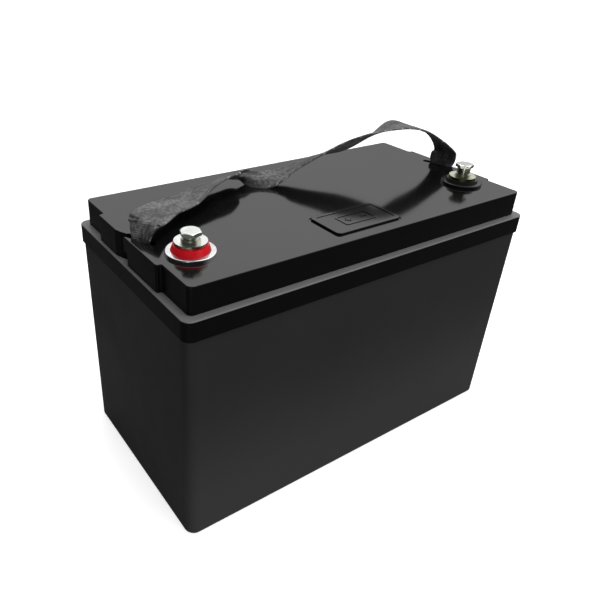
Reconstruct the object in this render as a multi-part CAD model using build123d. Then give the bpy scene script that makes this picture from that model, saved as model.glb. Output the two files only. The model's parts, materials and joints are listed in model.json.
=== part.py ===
"""Sealed 12 V lithium battery pack with a webbing carrying strap, as separate pieces.

Frame: millimetres, +Z up, origin at the centre of the underside. +X runs along the length
towards the negative terminal, and both terminals stand near the long side that faces -Y.
The lid is the same when it is turned half a turn about Z, so its end features are made once.
"""
import math
import os

from build123d import *

# Case and lid
LENGTH = 330.0            # over the lid's flange, along X
WIDTH = 171.0             # over the lid's flange, along Y
DECK_TOP = 210.0          # flat top of the lid
FLANGE_TOP = 190.0
FLANGE_BOTTOM = 174.5
BODY_STEP = 1.0           # the case stands this far inside the flange, each side
BODY_DRAFT = 0.8          # and is this much narrower again at its foot
CASE_WALL = 3.0
LID_WALL = 3.0
SKIRT_WALL = 2.4
RIM_WALL = 1.9            # upright lip of the case, inside the lid's skirt
RIM_GAP = 0.3
RIM_TOP = 185.0
GASKET_HEIGHT = 2.0
BODY_CORNER = 8.0
FLANGE_CORNER = 7.0
DECK_CORNER = 4.0
DECK_INSET = 6.0          # from the flange's edge to the deck's edge
NOSE_SQUARE_Y = 44.7      # each end of the deck has a nose that nearly reaches the flange's edge,
NOSE_SLANT_Y = 46.5       # between two steps in its outline
NOSE_INSET = 2.2          # from the flange's edge to the nose
NOSE_CORNER = 1.7
EDGE_ROUND = 1.0

# Strap slit in the left nose
STRAP_WIDTH = 25.0
STRAP_GATHERED = 16.0     # width of the webbing where it passes through a slit
STRAP_THICK = 1.5
ANCHOR_X = -154.5
ANCHOR_Y = -6.2
SLIT_ANGLE = -67.7        # plan direction of the slit, degrees from +X
SLIT_WIDTH = 6.0
SLIT_LENGTH = 27.0
POCKET_WIDTH = 11.0
POCKET_TOP = 199.5
POCKET_WALL = 2.5
BAR_RADIUS = 2.5
BAR_LENGTH = 22.0
BAR_Z = 194.8
LOOP_RADIUS = 4.2
STUB_TOP = 210.0

# Terminals, from the deck upwards
TERMINAL_X = {"positive": -135.2, "negative": 132.2}
TERMINAL_Y = -40.0
SEAT_RADIUS = 17.0
SEAT_HEIGHT = 2.3
POLARITY_RADIUS = 13.4
POLARITY_TAPER = 0.37     # loss of radius for each millimetre of height
POLARITY_HEIGHT = {"positive": 4.3, "negative": 2.0}
INSERT_FLANGE_RADIUS = 10.5
INSERT_FLANGE = 0.7
INSERT_RADIUS = 8.0
INSERT_BOTTOM = 184.0
BORE_BOTTOM = 197.0
BUSH_GAP = 0.1            # round the bush, in the lid, the ring and the lug
WASHER_BORE = 4.2
THREAD_RADIUS = 4.0       # M8
FLAT_WASHER_RADIUS = 11.1
FLAT_WASHER = 1.7
SPRING_WASHER_RADIUS = 6.7
SPRING_WASHER = 2.0
SPRING_SPLIT_ANGLE = 110
COLLAR_RADIUS = 5.5
COLLAR_HEIGHT = {"positive": 2.2, "negative": 5.6}
HEAD_ACROSS_FLATS = 13.0
HEAD_HEIGHT = 2.7
SHANK_RADIUS = 3.95
THREAD_PITCH = 1.25
THREAD_DEPTH = 0.65
SHANK_TURNS = 13
BOSS_RADIUS = 13.0
BOSS_BOTTOM = 192.0
LUG_THICK = 1.6
LUG_RADIUS = 12.0
BARREL_LENGTH = 14.0
BARREL_END = 30.0         # end of the lug's barrel, from the terminal's axis
LOCK_NUT = 5.5
LOCK_NUT_FLATS = 24.0

# Badge plate, set in a shallow recess of the deck
BADGE_X = -3.3
BADGE_Y = -52.8
BADGE_LENGTH = 62.0
BADGE_WIDTH = 33.0
BADGE_HEIGHT = 2.2
BADGE_CORNER = 3.5
BADGE_RIM = 3.2
BADGE_RECESS = 0.6
BADGE_MOAT = 1.4
SYMBOL_LENGTH = 30.0
SYMBOL_WIDTH = 15.0
SYMBOL_LINE = 1.6
SYMBOL_HEIGHT = 0.4

# Cells and what is packed round them
CELL_X = 50.0
CELL_Y = 160.0
CELL_Z = 118.0
CELL_GAP = 1.0
CELL_COUNT = 4
CELL_FOOT = 9.0
POST_Y = 46.0
POST_RADIUS = 9.0
POST_HEIGHT = 3.0
BUSBAR_THICK = 2.0
END_PLATE = 4.0
BAND_THICK = 0.4
BAND_WIDTH = 16.0
BLOCK_LENGTH = 50.0
BLOCK_TOP = 138.0
TRAY_THICK = 2.0
BOARD_Z = 146.0
BOARD_THICK = 1.6
BOARD_LENGTH = 130.0
BOARD_WIDTH = 64.0
SCREW_INSET = 6.0         # from the board's edges to the axes of its screws
SINK_LENGTH = 104.0
SINK_BASE = 3.0
SINK_Y = 3.0
FIN_COUNT = 7
FIN_PITCH = 3.6
FIN_THICK = 1.4
FIN_HEIGHT = 9.0
LEAD_RADIUS = 3.0
LEAD_TURN_Z = 168.0       # where the pack leads level out above the board
SENSE_RADIUS = 0.9
SENSE_PITCH = 3.2

CELL_PITCH = CELL_X + CELL_GAP
CELL_TOP = CELL_FOOT + CELL_Z
BUSBAR_Z = CELL_TOP + POST_HEIGHT
STACK_HALF = (CELL_COUNT * CELL_PITCH - CELL_GAP) / 2
BOARD_TOP = BOARD_Z + BOARD_THICK

# The strap's route: centre x, y, z, roll about the route in degrees, and width as a share of STRAP_WIDTH.
# It is gathered to a narrow neck where it twists over beside the middle of the deck.
STRAP_ROUTE = [
    (-154.2, -6, 212, -20, 0.28),
    (-153.4, -5.5, 214.6, -18, 0.64),
    (-150.8, -4, 219, -14, 0.98),
    (-147.8, -2.4, 220.9, -12, 1),
    (-142, 1.4, 221.2, -12, 1),
    (-126.6, 11.3, 220.7, -3, 1),
    (-104.2, 21.4, 218.8, 3, 1),
    (-83.2, 33.8, 220.2, 15, 1),
    (-61.8, 41.6, 220.4, 27, 0.96),
    (-47, 47.5, 219, 30, 0.72),
    (-40, 48, 217.8, 75, 0.38),
    (-33.5, 44, 216.2, 135, 0.6),
    (-25.5, 39, 215, 163, 0.86),
    (-12, 35.8, 217.2, 182, 0.98),
    (0, 34.7, 220.9, 195, 1),
    (25.3, 29.9, 229.7, 206, 1),
    (50.9, 20.7, 237.9, 223, 1),
    (76.8, 14.9, 245.8, 209, 1),
    (99.6, 11.4, 251.5, 179, 1),
    (123.5, 10.4, 245.7, 180, 1),
    (146.4, 7.4, 235.5, 171, 1),
    (158.4, 5.7, 221, 175, 0.96),
    (156.3, 6, 215, 192, 0.64),
    (155, 6.2, 212, 200, 0.28),
]
STRAP_STEPS = 2

os.makedirs("parts", exist_ok=True)


def save(name, *solids):
    """Write one node: one solid, or a group of separate solids."""
    shape = solids[0] if len(solids) == 1 else Compound(children=list(solids))
    shape.label = name
    export_step(shape, f"parts/{name}.step")


def at(shape, x=0.0, y=0.0, z=0.0):
    return Pos(x, y, z) * shape


def upright(radius, height, x=0.0, y=0.0, z=0.0):
    """A cylinder standing on its base."""
    return at(Cylinder(radius, height, align=(Align.CENTER, Align.CENTER, Align.MIN)), x, y, z)


def ring(outer, inner, height, x=0.0, y=0.0, z=0.0):
    return upright(outer, height, x, y, z) - upright(inner, height + 2, x, y, z - 1)


def block(x_size, y_size, z_size, x=0.0, y=0.0, z=0.0):
    """A box standing on its base."""
    return at(Box(x_size, y_size, z_size, align=(Align.CENTER, Align.CENTER, Align.MIN)), x, y, z)


def rounded_block(x_size, y_size, z_size, radius, x=0.0, y=0.0, z=0.0):
    return at(extrude(RectangleRounded(x_size, y_size, radius), z_size), x, y, z)


def hexagon(across_flats, height, x=0.0, y=0.0, z=0.0):
    return at(extrude(RegularPolygon(across_flats / 2, 6, major_radius=False), height), x, y, z)


def half_turn(shape):
    return Rot(0, 0, 180) * shape


def round_uprights(solid, radius, chosen):
    """Round the vertical edges whose middle passes the test."""
    edges = solid.edges().filter_by(Axis.Z).filter_by(lambda edge: chosen(edge.center()))
    return fillet(edges, radius)


def round_end_face(solid, radius, top=True):
    faces = solid.faces().sort_by(Axis.Z)
    return fillet((faces[-1] if top else faces[0]).edges(), radius)


# ---------------------------------------------------------------- case

def tapered_box(inset, foot, top, corner):
    """The case's drafted outline, offset inward, between two heights."""
    sections = []
    for z in (foot, top):
        side = 2 * (BODY_STEP + BODY_DRAFT * (1 - z / FLANGE_BOTTOM) + inset)
        sections.append(at(RectangleRounded(LENGTH - side, WIDTH - side, corner), z=z))
    return loft(sections)


def frame_between(height, z):
    """The upright ring that stands inside the lid's skirt."""
    outer = 2 * (SKIRT_WALL + RIM_GAP)
    inner = outer + 2 * RIM_WALL
    corner = FLANGE_CORNER - SKIRT_WALL - RIM_GAP
    solid = rounded_block(LENGTH - outer, WIDTH - outer, height, corner, z=z)
    return solid - rounded_block(LENGTH - inner, WIDTH - inner, height + 2, corner - RIM_WALL, z=z - 1)


def case_body():
    shell = round_end_face(tapered_box(0, 0, FLANGE_BOTTOM, BODY_CORNER), 1.5, top=False)
    shell -= tapered_box(CASE_WALL, CASE_WALL, FLANGE_BOTTOM + 1, BODY_CORNER - CASE_WALL)
    rim_foot = FLANGE_BOTTOM - 6
    return shell + frame_between(RIM_TOP - rim_foot, rim_foot)


def lid_gasket():
    return frame_between(GASKET_HEIGHT, RIM_TOP)


# ---------------------------------------------------------------- lid

def deck_prism(inset, foot, top):
    """The raised deck: a rectangle with a nose at each end, offset inward."""
    core = Rectangle(LENGTH - 2 * (DECK_INSET + inset), WIDTH - 2 * (DECK_INSET + inset))
    half_x = LENGTH / 2 - NOSE_INSET - inset
    nose_y = NOSE_SQUARE_Y + NOSE_SLANT_Y - 2 * inset
    nose = at(Rectangle(half_x, nose_y), -half_x / 2, (NOSE_SLANT_Y - NOSE_SQUARE_Y) / 2)
    prism = at(extrude(core + nose + half_turn(nose), top - foot), z=foot)
    prism = round_uprights(prism, DECK_CORNER, lambda c: abs(c.Y) > NOSE_SLANT_Y + 5)
    return round_uprights(prism, NOSE_CORNER, lambda c: abs(c.Y) <= NOSE_SLANT_Y + 5 and abs(c.X) > 100)


def along_slit(shape, offset=0.0):
    """Place a plan shape on the strap's line through the left anchor."""
    return Pos(ANCHOR_X + offset, ANCHOR_Y) * Rot(0, 0, SLIT_ANGLE) * shape


def mouth_plan():
    """The open end of the left slit, where it breaks through the end face."""
    end = -LENGTH / 2
    points = [
        (end - 4, 27.5), (end + 0.5, 26.6), (end + 1.7, 19.5), (end + 3.8, 11.7), (end + 6.4, 6.4),
        (end + 9.0, 3.6), (end + 7.0, -4.0), (end + 4.0, 0.6), (end + 1.2, 5.2), (end - 4, 6.4),
    ]
    return make_face(Polyline(*points, close=True))


def slit_cut(width, foot, top):
    slot = along_slit(SlotOverall(SLIT_LENGTH, width), -0.4)
    return at(extrude(slot + mouth_plan(), top - foot), z=foot)


def slit_housing():
    """Walls and floor of the strap pocket, under the deck."""
    plan = offset(along_slit(SlotOverall(SLIT_LENGTH, POCKET_WIDTH), -0.4), POCKET_WALL)
    plan += offset(mouth_plan(), POCKET_WALL)
    foot = FLANGE_TOP - LID_WALL
    return at(extrude(plan, DECK_TOP - foot), z=foot) & deck_prism(1.0, foot, DECK_TOP - 1)


def lid():
    flange = rounded_block(LENGTH, WIDTH, FLANGE_TOP - FLANGE_BOTTOM, FLANGE_CORNER, z=FLANGE_BOTTOM)
    flange = round_end_face(round_end_face(flange, EDGE_ROUND), EDGE_ROUND, top=False)
    deck = round_end_face(deck_prism(0, FLANGE_TOP - 6, DECK_TOP), EDGE_ROUND)
    shell = flange + deck
    skirt = 2 * SKIRT_WALL
    under = FLANGE_TOP - LID_WALL
    corner = FLANGE_CORNER - SKIRT_WALL
    shell -= rounded_block(LENGTH - skirt, WIDTH - skirt, under - 100, corner, z=100)
    shell -= deck_prism(LID_WALL, under - 1, DECK_TOP - LID_WALL)
    for x in TERMINAL_X.values():
        shell += upright(BOSS_RADIUS, DECK_TOP - 1 - BOSS_BOTTOM, x, TERMINAL_Y, BOSS_BOTTOM)
    housing = slit_housing()
    shell = shell + housing + half_turn(housing)
    slit = slit_cut(SLIT_WIDTH, FLANGE_TOP, DECK_TOP + 1) + slit_cut(POCKET_WIDTH, FLANGE_TOP, POCKET_TOP)
    shell = shell - slit - half_turn(slit)
    for x in TERMINAL_X.values():
        shell -= upright(INSERT_RADIUS + BUSH_GAP, DECK_TOP, x, TERMINAL_Y, BOSS_BOTTOM - 1)
    moat = 2 * BADGE_MOAT
    corner = BADGE_CORNER + BADGE_MOAT
    recess = rounded_block(BADGE_LENGTH + moat, BADGE_WIDTH + moat, 10, corner, BADGE_X, BADGE_Y)
    return shell - at(recess, z=DECK_TOP - BADGE_RECESS)


# ---------------------------------------------------------------- badge

def badge_plate():
    """A raised name plate that carries a plain battery symbol instead of a name."""
    foot = DECK_TOP - BADGE_RECESS
    plate = rounded_block(BADGE_LENGTH, BADGE_WIDTH, BADGE_HEIGHT, BADGE_CORNER, BADGE_X, BADGE_Y, foot)
    plate = round_end_face(plate, 0.8)
    floor = foot + BADGE_HEIGHT - SYMBOL_HEIGHT
    rim = 2 * BADGE_RIM
    plate -= rounded_block(BADGE_LENGTH - rim, BADGE_WIDTH - rim, 5, 2, BADGE_X, BADGE_Y, floor)

    def raised(x_size, y_size, x_offset):
        return block(x_size, y_size, SYMBOL_HEIGHT, BADGE_X + x_offset, BADGE_Y, floor)

    line = 2 * SYMBOL_LINE
    outline = rounded_block(SYMBOL_LENGTH, SYMBOL_WIDTH, SYMBOL_HEIGHT, 2, BADGE_X, BADGE_Y, floor)
    outline -= rounded_block(SYMBOL_LENGTH - line, SYMBOL_WIDTH - line, 5, 1, BADGE_X, BADGE_Y, floor)
    stud = raised(SYMBOL_LINE, SYMBOL_WIDTH / 2, (SYMBOL_LENGTH + SYMBOL_LINE) / 2)
    plus_x = SYMBOL_LENGTH / 4
    arm = SYMBOL_WIDTH / 3
    plus = raised(arm, SYMBOL_LINE, -plus_x) + raised(SYMBOL_LINE, arm, -plus_x)
    return plate + outline + stud + plus + raised(arm, SYMBOL_LINE, plus_x)


# ---------------------------------------------------------------- terminals

def contact_z(sign):
    """Height of the brass face that the flat washer clamps a lug against."""
    return DECK_TOP + SEAT_HEIGHT + POLARITY_HEIGHT[sign] + INSERT_FLANGE


def collar_z(sign):
    return contact_z(sign) + FLAT_WASHER + SPRING_WASHER


def seat_ring(x):
    """The collar that stands round a terminal on the deck."""
    solid = round_end_face(upright(SEAT_RADIUS, SEAT_HEIGHT, x, TERMINAL_Y, DECK_TOP), 0.7)
    return solid - upright(INSERT_RADIUS + 1.5, 10, x, TERMINAL_Y, DECK_TOP - 1)


def polarity_ring(sign, x):
    """The coloured cone that tells the poles apart."""
    foot = DECK_TOP + SEAT_HEIGHT
    height = POLARITY_HEIGHT[sign]
    top_radius = POLARITY_RADIUS - POLARITY_TAPER * height
    cone = Cone(POLARITY_RADIUS, top_radius, height, align=(Align.CENTER, Align.CENTER, Align.MIN))
    return at(cone, x, TERMINAL_Y, foot) - upright(INSERT_RADIUS + BUSH_GAP, 10, x, TERMINAL_Y, foot - 1)


def terminal_insert(sign, x):
    """A threaded brass bush, clamped through the deck by its lock nut."""
    top = contact_z(sign)
    solid = upright(INSERT_RADIUS, top - INSERT_BOTTOM, x, TERMINAL_Y, INSERT_BOTTOM)
    solid += upright(INSERT_FLANGE_RADIUS, INSERT_FLANGE, x, TERMINAL_Y, top - INSERT_FLANGE)
    return solid - upright(THREAD_RADIUS, top, x, TERMINAL_Y, BORE_BOTTOM)


def spring_washer(sign, x):
    z = contact_z(sign) + FLAT_WASHER
    solid = ring(SPRING_WASHER_RADIUS, WASHER_BORE, SPRING_WASHER, x, TERMINAL_Y, z)
    gap = Box(SPRING_WASHER_RADIUS + 2, 1, 6 * SPRING_WASHER, align=(Align.MIN, Align.CENTER, Align.CENTER))
    split = Rot(0, 0, SPRING_SPLIT_ANGLE) * Rot(35, 0, 0) * gap
    return solid - at(split, x, TERMINAL_Y, z + SPRING_WASHER / 2)


def terminal_bolt(sign, x):
    """A hex bolt with a low head, a round collar under it and a grooved shank."""
    foot = collar_z(sign)
    head_z = foot + COLLAR_HEIGHT[sign]
    head = hexagon(HEAD_ACROSS_FLATS, HEAD_HEIGHT)
    corner_radius = HEAD_ACROSS_FLATS / math.sqrt(3)
    crown = upright(corner_radius, HEAD_HEIGHT)
    crown = chamfer(crown.faces().sort_by(Axis.Z)[-1].edges(), 0.7, 1.3)
    bolt = at(head & crown, z=head_z) + upright(COLLAR_RADIUS, COLLAR_HEIGHT[sign], z=foot)
    root = SHANK_RADIUS - THREAD_DEPTH
    profile = [(0, foot + 1), (SHANK_RADIUS, foot + 1)]
    for turn in range(SHANK_TURNS):
        top = foot - turn * THREAD_PITCH
        profile += [(SHANK_RADIUS, top - 0.2), (root, top - 0.6), (SHANK_RADIUS, top - 1.0)]
    tip = foot - SHANK_TURNS * THREAD_PITCH
    profile += [(SHANK_RADIUS, tip + 0.2), (root, tip - 0.7), (0, tip - 0.7)]
    shank_face = make_face(Polyline(*[(r, 0, z) for r, z in profile], close=True))
    bolt += revolve(shank_face, Axis.Z)
    return at(Rot(0, 0, 12) * bolt, x, TERMINAL_Y)


def terminal_lug(sign, x):
    """The ring lug inside the pack, with its barrel towards the middle."""
    z = BOSS_BOTTOM - LUG_THICK
    inward = 1 if sign == "positive" else -1
    lug = ring(LUG_RADIUS, INSERT_RADIUS + BUSH_GAP, LUG_THICK, x, TERMINAL_Y, z)
    lug += block(8, 10, LUG_THICK, x + inward * (LUG_RADIUS + 2), TERMINAL_Y, z)
    barrel = Rot(0, 90, 0) * Cylinder(LEAD_RADIUS + 1.2, BARREL_LENGTH)
    return lug + at(barrel, x + inward * (BARREL_END - BARREL_LENGTH / 2), TERMINAL_Y, z)


def lock_nut(x):
    z = BOSS_BOTTOM - LUG_THICK - LOCK_NUT
    nut = hexagon(LOCK_NUT_FLATS, LOCK_NUT, x, TERMINAL_Y, z)
    return nut - upright(INSERT_RADIUS, LOCK_NUT + 2, x, TERMINAL_Y, z - 1)


def terminal_set(sign):
    x = TERMINAL_X[sign]
    save(f"seat_ring_{sign}", seat_ring(x))
    save(f"polarity_ring_{sign}", polarity_ring(sign, x))
    save(f"terminal_insert_{sign}", terminal_insert(sign, x))
    save(f"flat_washer_{sign}",
         ring(FLAT_WASHER_RADIUS, WASHER_BORE, FLAT_WASHER, x, TERMINAL_Y, contact_z(sign)))
    save(f"spring_washer_{sign}", spring_washer(sign, x))
    save(f"terminal_bolt_{sign}", terminal_bolt(sign, x))
    save(f"terminal_lug_{sign}", terminal_lug(sign, x))
    save(f"lock_nut_{sign}", lock_nut(x))


# ---------------------------------------------------------------- strap

def spline_value(values, t):
    """Catmull-Rom value between the two middle ones of four."""
    a, b, c, d = values
    slope = c - a
    bend = 2 * a - 5 * b + 4 * c - d
    swing = 3 * b - a - 3 * c + d
    return b + 0.5 * (slope * t + bend * t ** 2 + swing * t ** 3)


def strap_stations():
    """The route as a smooth list of centre, roll and share of the width."""
    first = [2 * a - b for a, b in zip(STRAP_ROUTE[0], STRAP_ROUTE[1])]
    last = [2 * a - b for a, b in zip(STRAP_ROUTE[-1], STRAP_ROUTE[-2])]
    rows = [first, *STRAP_ROUTE, last]
    stations = []
    for i in range(len(STRAP_ROUTE) - 1):
        for step in range(STRAP_STEPS):
            stations.append([spline_value(column, step / STRAP_STEPS) for column in zip(*rows[i:i + 4])])
    return stations + [list(STRAP_ROUTE[-1])]


def strap_corners():
    """The four corners of the webbing's section at each station."""
    stations = strap_stations()
    sections = []
    for i, (x, y, z, roll, share) in enumerate(stations):
        before = Vector(*stations[max(i - 1, 0)][:3])
        after = Vector(*stations[min(i + 1, len(stations) - 1)][:3])
        tangent = (after - before).normalized()
        front = Vector(0, -1, 0)
        front = (front - tangent * front.dot(tangent)).normalized()
        lift = front.cross(tangent)
        angle = math.radians(roll)
        across = front * math.cos(angle) + lift * math.sin(angle)
        half = across * (share * STRAP_WIDTH / 2)
        skin = tangent.cross(across) * (STRAP_THICK / 2)
        centre = Vector(x, y, z)
        sections.append([centre + half + skin, centre - half + skin,
                         centre - half - skin, centre + half - skin])
    return sections


def flat_face(*points):
    return Face(Wire.make_polygon(points, close=True))


def strap_span():
    """The free part of the webbing, from just above one slit to just above the other."""
    sections = strap_corners()
    faces = [flat_face(*sections[0]), flat_face(*sections[-1])]
    for this, following in zip(sections, sections[1:]):
        for k in range(4):
            j = (k + 1) % 4
            faces.append(flat_face(this[k], this[j], following[j]))
            faces.append(flat_face(this[k], following[j], following[k]))
    return Solid(Shell(faces))


def strap_end():
    """The sewn end of the webbing: a loop round its bar, and the tail that leaves the slit."""
    loop = Rot(0, 90, 0) * (Cylinder(LOOP_RADIUS, STRAP_GATHERED) - Cylinder(BAR_RADIUS + 0.05, BAR_LENGTH))
    tail_foot = LOOP_RADIUS - 0.5
    tail = block(STRAP_GATHERED, STRAP_THICK, STUB_TOP - BAR_Z - tail_foot, z=tail_foot)
    return Pos(ANCHOR_X, ANCHOR_Y, BAR_Z) * Rot(0, 0, SLIT_ANGLE) * (loop + tail)


def strap_bar():
    return Pos(ANCHOR_X, ANCHOR_Y, BAR_Z) * Rot(0, 0, SLIT_ANGLE) * Rot(0, 90, 0) * Cylinder(
        BAR_RADIUS, BAR_LENGTH)


# ---------------------------------------------------------------- cells

def cell_x(index):
    return (index - (CELL_COUNT - 1) / 2) * CELL_PITCH


def cell(index):
    """An aluminium can with two posts and a vent cap, standing on the pad."""
    x = cell_x(index)
    can = rounded_block(CELL_X, CELL_Y, CELL_Z, 3, x, 0, CELL_FOOT)
    for y in (-POST_Y, POST_Y):
        can += upright(POST_RADIUS, POST_HEIGHT, x, y, CELL_TOP)
    return can + upright(7, 0.8, x, 0, CELL_TOP)


def busbar(index):
    """Joins cell `index` to the next, on alternate sides of the pack."""
    y = POST_Y if index % 2 == 0 else -POST_Y
    middle = (cell_x(index) + cell_x(index + 1)) / 2
    bar = rounded_block(CELL_PITCH + 18, 18, BUSBAR_THICK, 8, middle, y, BUSBAR_Z)
    return bar, middle, y


def end_plate(side):
    x = side * (STACK_HALF + END_PLATE / 2)
    return rounded_block(END_PLATE, CELL_Y - 4, CELL_Z - 4, 1, x, 0, CELL_FOOT + 2)


def cell_band(z):
    """A flat band drawn round the cells and their end plates."""
    length = 2 * (STACK_HALF + END_PLATE)
    outer = rounded_block(length + 2 * BAND_THICK, CELL_Y + 2 * BAND_THICK, BAND_WIDTH, 1, z=z)
    return outer - rounded_block(length, CELL_Y, BAND_WIDTH + 2, 0.6, z=z - 1)


def foam_block(side):
    x = side * (STACK_HALF + END_PLATE + BAND_THICK + 1 + BLOCK_LENGTH / 2)
    return rounded_block(BLOCK_LENGTH, CELL_Y - 6, BLOCK_TOP - CASE_WALL, 6, x, 0, CASE_WALL)


def hold_down_block(side):
    foot = BLOCK_TOP + TRAY_THICK
    return rounded_block(30, 70, DECK_TOP - LID_WALL - foot, 3, side * 125, 38, foot)


# ---------------------------------------------------------------- electronics

def board_tray():
    return rounded_block(284, 72, TRAY_THICK, 4, z=BLOCK_TOP)


def board_corners():
    x = BOARD_LENGTH / 2 - SCREW_INSET
    y = BOARD_WIDTH / 2 - SCREW_INSET
    return [(-x, -y), (-x, y), (x, -y), (x, y)]


def heat_sink():
    sink = block(SINK_LENGTH, FIN_COUNT * FIN_PITCH, SINK_BASE, 0, SINK_Y, BOARD_TOP)
    for fin in range(FIN_COUNT):
        y = SINK_Y + (fin - (FIN_COUNT - 1) / 2) * FIN_PITCH
        sink += block(SINK_LENGTH, FIN_THICK, FIN_HEIGHT, 0, y, BOARD_TOP + SINK_BASE)
    return sink


def lead(points, radius, bend):
    """A round lead along straight runs joined by arcs."""
    path = FilletPolyline(*points, radius=bend)
    start = Plane(origin=path @ 0, z_dir=path % 0)
    return sweep(start * Circle(radius), path=path)


def main_leads():
    reach = BARREL_END + 0.2
    left = TERMINAL_X["positive"] + reach
    right = TERMINAL_X["negative"] - reach
    lug_z = BOSS_BOTTOM - LUG_THICK
    post = cell_x(CELL_COUNT - 1)
    post_z = BUSBAR_Z + 4
    turn_z = LEAD_TURN_Z
    save("lead_positive", lead([(left, TERMINAL_Y, lug_z), (-post, TERMINAL_Y, lug_z),
                                (-post, -POST_Y, turn_z), (-post, -POST_Y, post_z)], LEAD_RADIUS, 12))
    save("lead_pack_negative", lead([(post, -POST_Y, post_z), (post, -POST_Y, turn_z), (50, -24, turn_z),
                                     (50, -24, BOARD_TOP)], LEAD_RADIUS, 9))
    save("lead_negative", lead([(57, 11, BOARD_TOP), (57, 11, turn_z + 4), (post + 6, TERMINAL_Y, lug_z),
                                (right, TERMINAL_Y, lug_z)], LEAD_RADIUS, 9))


def post_lug(side):
    """A ring lug, bent upwards, under the end nut of the cell row."""
    x = side * cell_x(CELL_COUNT - 1)
    return upright(8, 2, x, -POST_Y, BUSBAR_Z) + upright(LEAD_RADIUS, 2, x, -POST_Y, BUSBAR_Z + 2)


def sense_taps():
    """Tap points in pack order: plan position of each sense lead's foot."""
    post = cell_x(CELL_COUNT - 1)
    return [(-post - 12, -POST_Y), (-CELL_PITCH, POST_Y), (0, -POST_Y), (CELL_PITCH, POST_Y),
            (post + 12, -POST_Y)]


def sense_leads():
    wires = []
    for number, (x, y) in enumerate(sense_taps()):
        side = 1 if y > 0 else -1
        start_x = (number - 2) * SENSE_PITCH
        top = BOARD_TOP + 4
        wires.append(lead([(start_x, side * 32.2, top), (start_x, side * 40, top),
                           (x, side * 40, top - 4), (x, y, top - 8), (x, y, BUSBAR_Z + BUSBAR_THICK + 0.1)],
                          SENSE_RADIUS, 3))
    return wires


# ---------------------------------------------------------------- build

save("case_body", case_body())
save("lid", lid())
save("lid_gasket", lid_gasket())
save("badge_plate", badge_plate())
terminal_set("positive")
terminal_set("negative")
save("strap_span", strap_span())
save("strap_end_left", strap_end())
save("strap_end_right", half_turn(strap_end()))
save("strap_bar_left", strap_bar())
save("strap_bar_right", half_turn(strap_bar()))

for number in range(CELL_COUNT):
    save(f"cell_{number + 1}", cell(number))
nuts = []
for number in range(CELL_COUNT - 1):
    bar, bar_x, bar_y = busbar(number)
    save(f"busbar_{number + 1}", bar)
    save(f"cell_separator_{number + 1}",
         block(CELL_GAP, CELL_Y - 4, CELL_Z - 6, cell_x(number) + CELL_PITCH / 2, 0, CELL_FOOT + 3))
    for x in (cell_x(number), cell_x(number + 1)):
        nuts.append(hexagon(10, 5, x, bar_y, BUSBAR_Z + BUSBAR_THICK))
save("busbar_nuts", *nuts)
save("end_plate_left", end_plate(-1))
save("end_plate_right", end_plate(1))
save("cell_band_lower", cell_band(36))
save("cell_band_upper", cell_band(92))
save("base_pad", rounded_block(212, 156, CELL_FOOT - CASE_WALL, 2, z=CASE_WALL))
save("foam_block_left", foam_block(-1))
save("foam_block_right", foam_block(1))
save("hold_down_block_left", hold_down_block(-1))
save("hold_down_block_right", hold_down_block(1))

save("board_tray", board_tray())
save("management_board", rounded_block(BOARD_LENGTH, BOARD_WIDTH, BOARD_THICK, 2, z=BOARD_Z))
spacer_z = BLOCK_TOP + TRAY_THICK
save("board_spacers", *[upright(3, BOARD_Z - spacer_z, x, y, spacer_z) for x, y in board_corners()])
save("board_screws", *[upright(2.8, 2, x, y, BOARD_TOP) for x, y in board_corners()])
save("heat_sink", heat_sink())
save("sense_connectors", *[block(18, 6, 7, 0, y, BOARD_TOP) for y in (-29, 29)])
main_leads()
save("post_lug_positive", post_lug(-1))
save("post_lug_negative", post_lug(1))
save("sense_leads", *sense_leads())
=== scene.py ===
"""Looks of the sealed battery pack: moulded plastic, plated terminals and a woven carrying strap."""

import json
import math
import random

import bpy
import numpy as np
from mathutils import Matrix, Vector


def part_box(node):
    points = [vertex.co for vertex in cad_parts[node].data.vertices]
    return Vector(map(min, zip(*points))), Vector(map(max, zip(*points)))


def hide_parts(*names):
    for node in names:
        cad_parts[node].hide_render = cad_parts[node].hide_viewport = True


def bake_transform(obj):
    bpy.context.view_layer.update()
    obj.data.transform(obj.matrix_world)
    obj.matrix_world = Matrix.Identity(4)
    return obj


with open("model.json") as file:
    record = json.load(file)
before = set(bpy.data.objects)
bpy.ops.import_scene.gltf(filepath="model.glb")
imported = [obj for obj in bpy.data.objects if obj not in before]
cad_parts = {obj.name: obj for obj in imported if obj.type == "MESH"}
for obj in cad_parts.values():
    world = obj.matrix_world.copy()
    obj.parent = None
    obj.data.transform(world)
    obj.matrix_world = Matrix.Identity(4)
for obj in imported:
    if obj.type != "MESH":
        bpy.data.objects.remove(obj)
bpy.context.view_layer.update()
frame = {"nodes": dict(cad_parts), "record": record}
nodes = frame["nodes"]
MM = 0.001

# the strap's webbing, in its mesh and its material
STRAP_WIDTH = 0.025
RIB_PITCH = 0.0016            # of its crosswise ribs
YARN_PITCH = 0.0011           # of its lengthwise yarns, which only the material shows

# ---------------------------------------------------------------- camera, floor and light

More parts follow.
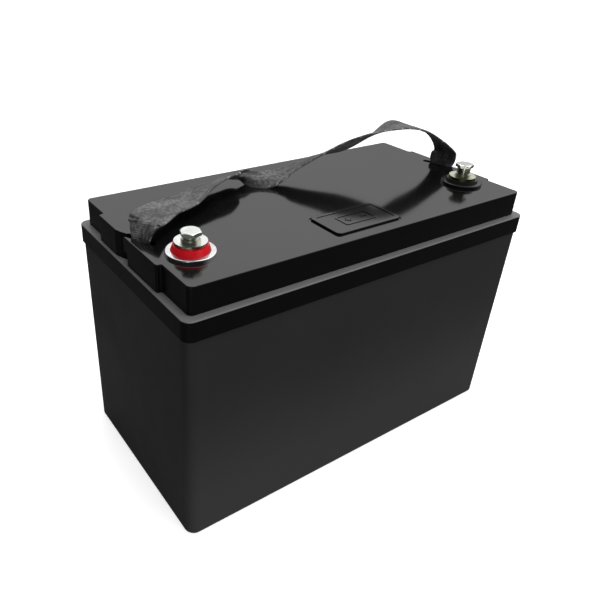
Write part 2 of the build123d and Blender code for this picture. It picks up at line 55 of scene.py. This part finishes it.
CAMERA_PLACE = (-0.30864, -0.34994, 0.38912)
CAMERA_AZIMUTH = -35.533      # degrees about Z, from looking along +Y
CAMERA_ELEVATION = 29.679
CAMERA_ROLL = 2.433
CAMERA_LENS = 36.783          # mm
CAMERA_SENSOR = 36.0          # mm
CAMERA_SHIFT = (0.08333, -0.02539)
DOME_HORIZON = 0.06           # strength of the light from the horizon
DOME_ZENITH = 2.5             # and from overhead
DOME_RISE = (0.1, 1.0)        # heights on the dome between which it goes from the one to the other
DOME_BACK = (0.87, 0.49, 0.0)   # towards the side that lights the pack the most
DOME_FRONT = 0.05             # share of that light that comes from the other side
DOME_TURN = (-0.1, 0.5)       # from the side that gives the least to the side that gives it all
BACKDROP = 1.0                # what the camera sees behind the pack
FLOOR_RADIUS = 24
PACK_MIDDLE = (0, 0, 0.1)     # the point that the two large lamps face


def turn(degrees, axis):
    return Matrix.Rotation(math.radians(degrees), 4, axis)


def add_camera():
    data = bpy.data.cameras.new("camera")
    data.lens = CAMERA_LENS
    data.sensor_width = CAMERA_SENSOR
    data.shift_x, data.shift_y = CAMERA_SHIFT
    data.clip_start = 0.01
    data.clip_end = 60.0
    camera = bpy.data.objects.new("camera", data)
    bpy.context.scene.collection.objects.link(camera)
    aim = turn(CAMERA_AZIMUTH, "Z") @ turn(90 - CAMERA_ELEVATION, "X") @ turn(CAMERA_ROLL, "Z")
    camera.matrix_world = Matrix.Translation(CAMERA_PLACE) @ aim
    bpy.context.scene.camera = camera


def add_area(name, place, target, width, depth, power):
    data = bpy.data.lights.new(name, "AREA")
    data.shape = "ELLIPSE"
    data.size = width
    data.size_y = depth
    data.energy = power
    lamp = bpy.data.objects.new(name, data)
    bpy.context.scene.collection.objects.link(lamp)
    lamp.location = place
    lamp.rotation_euler = (Vector(target) - Vector(place)).to_track_quat("-Z", "Y").to_euler()
    return lamp


def add_world():
    """A soft dome: brightest overhead, dim at the horizon and in front. The backdrop is plain white."""
    world = bpy.data.worlds.new("studio")
    bpy.context.scene.world = world
    world.use_nodes = True
    add, link = world.node_tree.nodes.new, world.node_tree.links.new
    background = world.node_tree.nodes["Background"]
    background.inputs["Color"].default_value = (1.0, 1.0, 1.0, 1.0)

    def graded(value, start, end, low, high):
        """Map a number from start..end to low..high."""
        node = add("ShaderNodeMapRange")
        link(value, node.inputs["Value"])
        for name, number in (("From Min", start), ("From Max", end), ("To Min", low), ("To Max", high)):
            node.inputs[name].default_value = number
        return node.outputs["Result"]

    direction = add("ShaderNodeTexCoord").outputs["Generated"]
    split = add("ShaderNodeSeparateXYZ")
    link(direction, split.inputs["Vector"])
    facing = add("ShaderNodeVectorMath")
    facing.operation = "DOT_PRODUCT"
    facing.inputs[1].default_value = DOME_BACK
    link(direction, facing.inputs[0])
    dome = add("ShaderNodeMath")
    dome.operation = "MULTIPLY"
    link(graded(split.outputs["Z"], *DOME_RISE, DOME_HORIZON, DOME_ZENITH), dome.inputs[0])
    link(graded(facing.outputs["Value"], *DOME_TURN, DOME_FRONT, 1.0), dome.inputs[1])
    choice = add("ShaderNodeMix")
    link(add("ShaderNodeLightPath").outputs["Is Camera Ray"], choice.inputs["Factor"])
    link(dome.outputs["Value"], choice.inputs["A"])
    choice.inputs["B"].default_value = BACKDROP
    link(choice.outputs["Result"], background.inputs["Strength"])


def add_floor():
    bpy.ops.mesh.primitive_circle_add(vertices=96, radius=FLOOR_RADIUS, fill_type="NGON")
    floor = bpy.context.object
    floor.name = "floor"
    floor.location = (0, 0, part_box("case_body")[0].z)
    floor.data.materials.append(plaster_floor())


# ---------------------------------------------------------------- material helpers

class Tree:
    """Adds nodes to one material and links them."""

    def __init__(self, name):
        self.material = bpy.data.materials.new(name)
        self.material.use_nodes = True
        self.nodes = self.material.node_tree.nodes
        self.links = self.material.node_tree.links
        self.shader = self.nodes["Principled BSDF"]

    def set(self, **values):
        """Set the shader's inputs; an underscore stands for a space."""
        for name, value in values.items():
            self.shader.inputs[name.replace("_", " ")].default_value = value

    def wire(self, socket, name):
        self.links.new(socket, self.shader.inputs[name])

    def add(self, kind, values=None, **settings):
        """A node, with its settings and its input values or links."""
        node = self.nodes.new(kind)
        for key, value in settings.items():
            setattr(node, key, value)
        for key, value in (values or {}).items():
            if isinstance(value, bpy.types.NodeSocket):
                self.links.new(value, node.inputs[key])
            else:
                node.inputs[key].default_value = value
        return node

    def place(self):
        """Where a point is in the shared frame, in metres."""
        return self.add("ShaderNodeTexCoord").outputs["Object"]

    def noise(self, place, scale, detail=3.0, stretch=None):
        if stretch is not None:
            place = self.add("ShaderNodeMapping", {"Vector": place, "Scale": stretch}).outputs["Vector"]
        values = {"Vector": place, "Scale": scale, "Detail": detail}
        return self.add("ShaderNodeTexNoise", values).outputs["Fac"]

    def spread(self, value, low, high, start=0.3, end=0.7):
        """Map a factor from start..end to low..high."""
        values = {"Value": value, "From Min": start, "From Max": end, "To Min": low, "To Max": high}
        return self.add("ShaderNodeMapRange", values, interpolation_type="SMOOTHSTEP").outputs["Result"]

    def math(self, operation, a, b=0.0):
        return self.add("ShaderNodeMath", {0: a, 1: b}, operation=operation).outputs[0]

    def tone(self, factor, dark, light):
        """A colour between two colours or colour sockets."""
        node = self.add("ShaderNodeMix", data_type="RGBA")
        self.links.new(factor, node.inputs["Factor"])
        for key, colour in (("A", dark), ("B", light)):
            socket = [s for s in node.inputs if s.name == key and s.type == "RGBA"][0]
            if isinstance(colour, bpy.types.NodeSocket):
                self.links.new(colour, socket)
            else:
                socket.default_value = (*colour, 1.0)
        return [s for s in node.outputs if s.type == "RGBA"][0]

    def bump(self, height, distance):
        values = {"Height": height, "Distance": distance, "Strength": 1.0}
        return self.add("ShaderNodeBump", values).outputs["Normal"]


def shade(colour, factor):
    """The colour made darker or lighter."""
    return tuple(min(1.0, c * factor) for c in colour)


def plaster_floor():
    """Pale to look at, but it throws little light back up at the pack."""
    t = Tree("plaster_floor")
    pale = t.tone(t.noise(t.place(), 0.8), (0.90, 0.90, 0.90), (0.92, 0.92, 0.92))
    seen = t.add("ShaderNodeLightPath").outputs["Is Camera Ray"]
    t.wire(t.tone(seen, (0.13, 0.13, 0.13), pale), "Base Color")
    t.wire(t.tone(seen, (0.0, 0.0, 0.0), (0.6, 0.6, 0.6)), "Emission Color")
    t.set(Roughness=0.9, Emission_Strength=1.0)
    t.shader.inputs["Specular IOR Level"].default_value = 0.0
    return t.material


def moulded(name, colour, rough, specular=0.5, grain=0.0006, height=0.00002, foot=None):
    """Injection-moulded plastic: fine grain, faint cloudiness, and perhaps painted light that makes it paler
    towards its foot.
    """
    t = Tree(name)
    place = t.place()
    cloud = t.noise(place, 9.0, 4.0)
    cloud_and_painted_light = t.tone(cloud, shade(colour, 0.8), shade(colour, 1.2))
    # painted light: the part turns to the paler foot colour towards its bottom
    if foot:
        rise = t.add("ShaderNodeSeparateXYZ", {"Vector": place}).outputs["Z"]
        cloud_and_painted_light = t.tone(t.spread(rise, 0.0, 1.0, 0.0, 0.14), foot, cloud_and_painted_light)
    t.wire(cloud_and_painted_light, "Base Color")
    smear = t.noise(place, 30.0, 5.0)
    t.wire(t.spread(smear, rough * 0.94, rough * 1.06), "Roughness")
    t.wire(t.bump(t.noise(place, 1.0 / grain, 2.0), height), "Normal")
    t.shader.inputs["Specular IOR Level"].default_value = specular
    return t.material


def plated(name, colour, rough, stain=None, brush=(1.0, 1.0, 6.0), side=None):
    """Plated or bare metal: fine machining marks, a slight stain, and perhaps painted shade that makes
    upright faces darker.
    """
    t = Tree(name)
    place = t.place()
    lines = t.noise(place, 900.0, 3.0, brush)
    cloud = t.spread(t.noise(place, 160.0, 3.0), 0.0, 1.0)
    stain_and_side_shade = t.tone(cloud, colour, stain or shade(colour, 0.82))
    # painted shade: upright faces take the darker side colour
    if side:
        normal = t.add("ShaderNodeTexCoord").outputs["Normal"]
        rise = t.add("ShaderNodeSeparateXYZ", {"Vector": normal}).outputs["Z"]
        stain_and_side_shade = t.tone(t.spread(rise, 0.0, 1.0, 0.1, 0.8), side, stain_and_side_shade)
    t.wire(stain_and_side_shade, "Base Color")
    t.wire(t.spread(lines, rough * 0.75, rough * 1.35), "Roughness")
    t.wire(t.bump(lines, 0.000012), "Normal")
    t.set(Metallic=1.0)
    return t.material


def porous(name, colour):
    """Closed-cell foam."""
    t = Tree(name)
    place = t.place()
    cells = t.add("ShaderNodeTexVoronoi", {"Vector": place, "Scale": 900.0}).outputs["Distance"]
    t.wire(t.tone(cells, shade(colour, 0.6), shade(colour, 1.6)), "Base Color")
    t.wire(t.bump(cells, 0.0002), "Normal")
    t.set(Roughness=0.9)
    return t.material


def circuit_board(name):
    """Green solder resist with fine tracks."""
    t = Tree(name)
    place = t.place()
    bricks = {"Vector": place, "Scale": 140.0, "Mortar Size": 0.012}
    tracks = t.add("ShaderNodeTexBrick", bricks).outputs["Fac"]
    cloud = t.tone(t.noise(place, 60.0), (0.012, 0.16, 0.06), (0.016, 0.2, 0.08))
    t.wire(t.tone(tracks, cloud, (0.05, 0.32, 0.13)), "Base Color")
    t.wire(t.bump(tracks, 0.00003), "Normal")
    t.set(Roughness=0.3)
    return t.material


def webbing(name):
    """Dark woven nylon: lengthwise yarns under and over crosswise ribs, with a faint sheen."""
    t = Tree(name)
    weave = t.add("ShaderNodeAttribute", attribute_name="weave").outputs["Vector"]
    split = t.add("ShaderNodeSeparateXYZ", {"Vector": weave}).outputs
    along, across = split["X"], split["Y"]
    yarn = t.math("SINE", t.math("MULTIPLY", across, 2 * math.pi / YARN_PITCH))
    rib = t.math("SINE", t.math("MULTIPLY", along, 2 * math.pi / RIB_PITCH))
    cross = t.math("MULTIPLY", yarn, rib)
    fibre = t.noise(weave, 1.0, 4.0, (900.0, 5200.0, 1.0))
    mottle = t.noise(weave, 1.0, 3.0, (260.0, 420.0, 1.0))
    worn = t.noise(weave, 1.0, 5.0, (38.0, 110.0, 1.0))
    selvage = t.spread(t.math("ABSOLUTE", across), 0.0, 0.35, 0.44 * STRAP_WIDTH, 0.5 * STRAP_WIDTH)
    lift = t.math("ADD", t.math("MULTIPLY", cross, 0.5), t.math("MULTIPLY", fibre, 0.7))
    wear = t.math("ADD", t.math("MULTIPLY", worn, 0.5), t.math("MULTIPLY", mottle, 0.5))
    height = t.spread(lift, 0.0, 1.0, -0.2, 0.9)
    fresh = t.tone(height, (0.012, 0.012, 0.013), (0.096, 0.096, 0.099))
    faded = t.tone(height, (0.064, 0.064, 0.065), (0.290, 0.290, 0.295))
    # paler flecks along both edges of the webbing, towards a light grey
    pale_edge_flecks = t.math("MULTIPLY", selvage, t.spread(mottle, 0.0, 2.6, 0.55, 0.68))
    cloth = t.tone(t.spread(wear, 0.0, 1.0, 0.40, 0.64), fresh, faded)
    t.wire(t.tone(pale_edge_flecks, cloth, (0.55, 0.55, 0.54)), "Base Color")
    t.wire(t.spread(fibre, 0.5, 0.75), "Roughness")
    t.wire(t.bump(lift, 0.00016), "Normal")
    t.set(Sheen_Weight=0.05, Sheen_Roughness=0.4)
    return t.material


# ---------------------------------------------------------------- CAD nodes

LEDGE_HEIGHT = 0.018          # from the lid's foot to just above its flange
UPWARD = 0.3                  # a face is part of a top when its normal rises more than this


def finishes():
    """One material for each slot of the record."""
    black = (0.010, 0.010, 0.010)
    return {
        # the case's paler foot colour is painted light
        "case_plastic": moulded("case_plastic", (0.030, 0.030, 0.030), 0.42, 0.22, 0.0005, 0.00003,
                                foot=(0.058, 0.058, 0.058)),
        "lid_plastic": moulded("lid_plastic", (0.0045, 0.0045, 0.0045), 0.36, 0.08, 0.0005, 0.00002),
        "gasket_rubber": moulded("gasket_rubber", (0.02, 0.02, 0.02), 0.7),
        "badge_plastic": moulded("badge_plastic", black, 0.12, 0.6, 0.0007, 0.00001),
        "seat_bright": plated("seat_bright", (0.92, 0.92, 0.93), 0.16),
        "seat_dark": moulded("seat_dark", black, 0.2, 0.5),
        "polarity_red": moulded("polarity_red", (0.72, 0.010, 0.020), 0.22, 0.4, 0.0008, 0.00001),
        "polarity_black": moulded("polarity_black", (0.012, 0.012, 0.012), 0.25),
        "terminal_brass": plated("terminal_brass", (0.62, 0.45, 0.20), 0.3),
        # the side colours of the two zincs are painted shade on their upright faces
        "zinc_clear": plated("zinc_clear", (0.97, 0.98, 0.98), 0.2, (0.84, 0.86, 0.80),
                             side=(0.60, 0.62, 0.52)),
        "zinc_yellow": plated("zinc_yellow", (0.86, 0.88, 0.76), 0.26, (0.62, 0.66, 0.42),
                              side=(0.16, 0.17, 0.05)),
        "copper_tinned": plated("copper_tinned", (0.72, 0.72, 0.70), 0.35),
        "webbing": webbing("webbing"),
        "bar_steel": plated("bar_steel", (0.45, 0.45, 0.46), 0.35),
        "cell_can": moulded("cell_can", (0.02, 0.10, 0.38), 0.3),
        "busbar_nickel": plated("busbar_nickel", (0.70, 0.68, 0.62), 0.3),
        "nut_steel": plated("nut_steel", (0.62, 0.63, 0.64), 0.3),
        "separator_sheet": moulded("separator_sheet", (0.62, 0.62, 0.56), 0.5),
        "end_plate_alloy": plated("end_plate_alloy", (0.72, 0.73, 0.75), 0.4),
        "band_plastic": moulded("band_plastic", (0.03, 0.03, 0.03), 0.35),
        "foam": porous("foam", (0.045, 0.045, 0.045)),
        "tray_sheet": moulded("tray_sheet", (0.52, 0.47, 0.28), 0.45),
        "board_green": circuit_board("board_green"),
        "spacer_nylon": moulded("spacer_nylon", (0.70, 0.70, 0.64), 0.45),
        "heat_sink_alloy": plated("heat_sink_alloy", (0.58, 0.58, 0.60), 0.35, None, (1.0, 8.0, 8.0)),
        "connector_white": moulded("connector_white", (0.72, 0.72, 0.68), 0.4),
        "lead_red": moulded("lead_red", (0.42, 0.012, 0.012), 0.45),
        "lead_black": moulded("lead_black", (0.015, 0.015, 0.015), 0.45),
        "sense_wire": moulded("sense_wire", (0.02, 0.02, 0.02), 0.45),
    }


def paint_nodes(looks):
    for part in frame["record"]["subparts"]:
        mesh = nodes[part["node"]].data
        mesh.materials.clear()
        mesh.materials.append(looks[part["material_slot"]])
    finish_lid(nodes["lid"].data)


def finish_lid(mesh):
    """The lid's deck is polished, its flange has a satin top painted paler as painted light, and its sides
    are satin.
    """
    mesh.materials.append(moulded("lid_polished", (0.004, 0.004, 0.004), 0.11, 0.62, 0.004, 0.000004))
    # painted light: the flange's upward faces are much paler than the rest of the lid's plastic
    mesh.materials.append(moulded("lid_ledge_painted_light", (0.150, 0.150, 0.150), 0.50, 0.60, 0.0006, 0.00002))
    ledge_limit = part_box("lid")[0].z + LEDGE_HEIGHT
    for face in mesh.polygons:
        if face.normal.z > UPWARD:
            face.material_index = 2 if face.center.z < ledge_limit else 1


# ---------------------------------------------------------------- strap

STRAP_GATHERED = 0.016        # its width as it passes through a slit
STRAP_THICK = 0.0015
RIB_HEIGHT = 0.00007
FOLD_DEPTH = 0.0026           # of the lengthwise folds, times the share of its width that is gathered in
EDGE_WAVER = 0.00008          # how far the two edges stray
PUCKER_PITCH = 0.0034         # crosswise puckers, where the twist bunches the right half
PUCKER_DEPTH = 0.00022
PUCKER_REACH = 0.026
PUCKER_CENTRE = 0.226         # along the webbing
BAR_Z = 0.1948                # the bar under each slit, which the webbing is sewn round
ANCHOR = Vector((-0.1545, -0.0062, 0.0))   # the middle of the left slit
SLIT_ANGLE = -67.7            # degrees about Z, from +X to the slit's length

# The route of the webbing's middle in metres, its roll about the route in degrees, how wide it stands
# and how far one edge is turned down. It leaves the left slit, lies back over the lid, is gathered where
# it twists over, and comes down to the right slit.
STRAP_ROUTE = [
    (-0.1545, -0.0062, 0.2050, -22, 0.0160, 0.0000),
    (-0.1541, -0.0060, 0.2100, -21, 0.0165, 0.0000),
    (-0.1531, -0.0053, 0.2150, -18, 0.0210, 0.0000),
    (-0.1515, -0.0044, 0.2193, -15, 0.0248, 0.0000),
    (-0.1504, -0.0037, 0.2207, -13, 0.0250, 0.0000),
    (-0.1484, -0.0026, 0.2214, -12, 0.0250, 0.0000),
    (-0.1420, 0.0014, 0.2214, -12, 0.0250, 0.0000),
    (-0.1266, 0.0113, 0.2207, -3, 0.0250, 0.0000),
    (-0.1042, 0.0214, 0.2188, 3, 0.0250, 0.0000),
    (-0.0832, 0.0338, 0.2202, 15, 0.0250, 0.0000),
    (-0.0618, 0.0416, 0.2204, 27, 0.0240, 0.0000),
    (-0.0470, 0.0475, 0.2190, 30, 0.0180, 0.0000),
    (-0.0400, 0.0480, 0.2178, 75, 0.0095, 0.0010),
    (-0.0335, 0.0440, 0.2162, 135, 0.0150, 0.0040),
    (-0.0255, 0.0390, 0.2150, 163, 0.0215, 0.0045),
    (-0.0120, 0.0358, 0.2172, 182, 0.0245, 0.0015),
    (0.0000, 0.0347, 0.2209, 195, 0.0250, 0.0000),
    (0.0253, 0.0299, 0.2297, 206, 0.0250, 0.0000),
    (0.0509, 0.0207, 0.2379, 223, 0.0250, 0.0000),
    (0.0768, 0.0149, 0.2458, 209, 0.0250, 0.0000),
    (0.0996, 0.0114, 0.2515, 179, 0.0250, 0.0000),
    (0.1235, 0.0104, 0.2457, 180, 0.0250, 0.0000),
    (0.1464, 0.0074, 0.2355, 171, 0.0250, 0.0000),
    (0.1592, 0.0044, 0.2230, 180, 0.0250, 0.0000),
    (0.1586, 0.0038, 0.2160, 194, 0.0248, 0.0000),
    (0.1564, 0.0040, 0.2095, 201, 0.0215, 0.0000),
    (0.1545, 0.0062, 0.2040, 202, 0.0160, 0.0000),
]
NECK = 12                     # the point of the route where the webbing twists over
RIGHT_START = 0.19            # along the webbing, where the right half's weave begins
STEPS = 34                    # rows of the mesh between two points of the route
LOOP_STEPS = 12               # and between two points of a sewn loop
COLUMNS = 30                  # columns of the mesh across one face
EDGE_POINTS = (COLUMNS + 2, 2 * COLUMNS + 7)   # the outermost point of each edge, in the section's outline


def spline(values, t):
    """Catmull-Rom value between the two middle ones of four."""
    a, b, c, d = values
    bend = 2 * a - 5 * b + 4 * c - d
    swing = 3 * b - a - 3 * c + d
    return b + 0.5 * ((c - a) * t + bend * t ** 2 + swing * t ** 3)


def smooth_rows(points, steps):
    """The points as a smooth list with `steps` rows from each to the next."""
    table = np.array(points, float)
    ends = [2 * table[0] - table[1], *table, 2 * table[-1] - table[-2]]
    rows = []
    for i in range(len(points) - 1):
        for step in range(steps):
            rows.append(spline(ends[i:i + 4], step / steps))
    rows.append(table[-1])
    return rows


def route_sections():
    """Centre, direction across, width and turned edge of the webbing along its free route."""
    rows = smooth_rows(STRAP_ROUTE, STEPS)
    sections = []
    for i, row in enumerate(rows):
        tangent = Vector(rows[min(i + 1, len(rows) - 1)][:3] - rows[max(i - 1, 0)][:3]).normalized()
        front = Vector((0, -1, 0))
        front = (front - tangent * front.dot(tangent)).normalized()
        lift = front.cross(tangent)
        roll = math.radians(row[3])
        across = front * math.cos(roll) + lift * math.sin(roll)
        sections.append((Vector(row[:3]), across, row[4], row[5]))
    return sections


def loop_sections():
    """The sewn loop round the left bar, from the webbing's cut end up to the foot of the free route."""
    across = Vector((math.cos(math.radians(SLIT_ANGLE)), math.sin(math.radians(SLIT_ANGLE)), 0))
    side = Vector((0, 0, 1)).cross(across)
    # millimetres sideways and up from the bar's middle
    outline = [(-1.7, 8.4), (-1.7, 5.6), (-3.2, 1.6), (-2.7, -2.0), (0.0, -3.35), (2.7, -2.0), (3.2, 1.6),
               (1.2, 4.8), (0.1, 7.4), (0.0, 9.6)]
    rows = smooth_rows(outline, LOOP_STEPS)
    centre = ANCHOR + Vector((0, 0, BAR_Z))
    return [(centre + side * (p * MM) + Vector((0, 0, z * MM)), across, STRAP_GATHERED, 0.0) for p, z in rows]


def half_turned(sections):
    """The sections turned half round about Z, in the opposite order."""
    turned = [(Vector((-c.x, -c.y, c.z)), Vector((-a.x, -a.y, a.z)), *rest) for c, a, *rest in sections]
    return turned[::-1]


def section_outline():
    """Points round the webbing's section as (across, through, face): both faces and two rounded edges."""
    half, skin = STRAP_WIDTH / 2, STRAP_THICK / 2
    body = half - skin
    points = [(body - 2 * body * k / (COLUMNS - 1), skin, 1.0) for k in range(COLUMNS)]
    rounding = (0.5, 1.05, math.pi / 2, 2.1, 2.65)
    points += [(-body - skin * math.sin(a), skin * math.cos(a), 0.0) for a in rounding]
    points += [(-body + 2 * body * k / (COLUMNS - 1), -skin, -1.0) for k in range(COLUMNS)]
    points += [(body + skin * math.sin(a), -skin * math.cos(a), 0.0) for a in rounding]
    return points


def build_webbing(name, sections, start_along):
    """One length of webbing with woven ribs, as a closed mesh."""
    rng = random.Random(7)
    along = start_along
    verts, weave, faces = [], [], []
    outline = section_outline()
    ring = len(outline)
    for i, (centre, across, width, curl) in enumerate(sections):
        ahead = sections[min(i + 1, len(sections) - 1)][0]
        behind = sections[max(i - 1, 0)][0]
        tangent = (ahead - behind).normalized()
        through = tangent.cross(across).normalized()
        if i:
            along += (centre - sections[i - 1][0]).length
        squeeze = width / STRAP_WIDTH
        bunched = PUCKER_DEPTH * math.exp(-((along - PUCKER_CENTRE) / PUCKER_REACH) ** 4)
        for a, n, face in outline:
            rib = math.cos(2 * math.pi * (along / RIB_PITCH) + (math.pi if face < 0 else 0))
            lift = RIB_HEIGHT * rib * face
            phase = 2 * math.pi * (along + 0.25 * a) / PUCKER_PITCH
            # the puckers wander in pitch along the webbing and in depth across it
            ripple = math.sin(phase + 1.4 * math.sin(0.37 * phase))
            pucker = bunched * ripple * (0.6 + 0.4 * math.sin(900 * a))
            fold = FOLD_DEPTH * (1 - squeeze) * math.cos(3 * math.pi * a / STRAP_WIDTH)
            turned = curl * max(0.0, -2 * a / STRAP_WIDTH) ** 2
            height = n + lift + pucker + fold - turned
            verts.append(centre + across * (a * squeeze + 0.4 * turned) + through * height)
            weave.append((along, a, n))
        edge = rng.uniform(-1, 1) * EDGE_WAVER
        for k in EDGE_POINTS:
            verts[-ring + k] += across * (edge if k > ring / 2 else -edge)
    for i in range(len(sections) - 1):
        for k in range(ring):
            j = (k + 1) % ring
            faces.append((i * ring + k, i * ring + j, (i + 1) * ring + j, (i + 1) * ring + k))
    last = (len(sections) - 1) * ring
    faces.append(tuple(range(ring))[::-1])
    faces.append(tuple(last + k for k in range(ring)))
    mesh = bpy.data.meshes.new(name)
    mesh.from_pydata(verts, [], faces)
    mesh.validate()
    mesh.shade_smooth()
    attribute = mesh.attributes.new("weave", "FLOAT_VECTOR", "POINT")
    attribute.data.foreach_set("vector", np.array(weave, np.float32).ravel())
    piece = bpy.data.objects.new(name, mesh)
    bpy.context.scene.collection.objects.link(piece)
    return piece


def add_strap(looks):
    """Two halves of webbing that meet in the twist; the CAD strap and its ends are hidden."""
    free = route_sections()
    loop = loop_sections()
    middle = NECK * STEPS
    left = build_webbing("strap_left", loop[:-1] + free[:middle + 1], 0.0)
    right = build_webbing("strap_right", free[middle:] + half_turned(loop)[1:], RIGHT_START)
    for piece, end in ((left, "strap_end_left"), (right, "strap_end_right")):
        piece.data.materials.append(looks["webbing"])
        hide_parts("strap_span", end)
    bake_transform(left)
    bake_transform(right)


# ---------------------------------------------------------------- build

add_camera()
add_world()
add_floor()

# one lamp overhead, one in front, and a small one low at the front left
key = add_area("key", (-0.15, -0.25, 1.75), PACK_MIDDLE, 0.8, 0.8, 12.0)
fill = add_area("fill", (0.5, -1.6, 0.35), PACK_MIDDLE, 1.2, 1.2, 9.0)
for lamp in (key, fill):
    lamp.visible_glossy = False    # so that the glossy lid mirrors neither
add_area("low_fill", (-0.62, -0.70, 0.03), (-0.1, 0, 0.05), 0.4, 0.4, 2.2)

looks = finishes()
paint_nodes(looks)
add_strap(looks)

bpy.context.scene.view_settings.view_transform = "Standard"
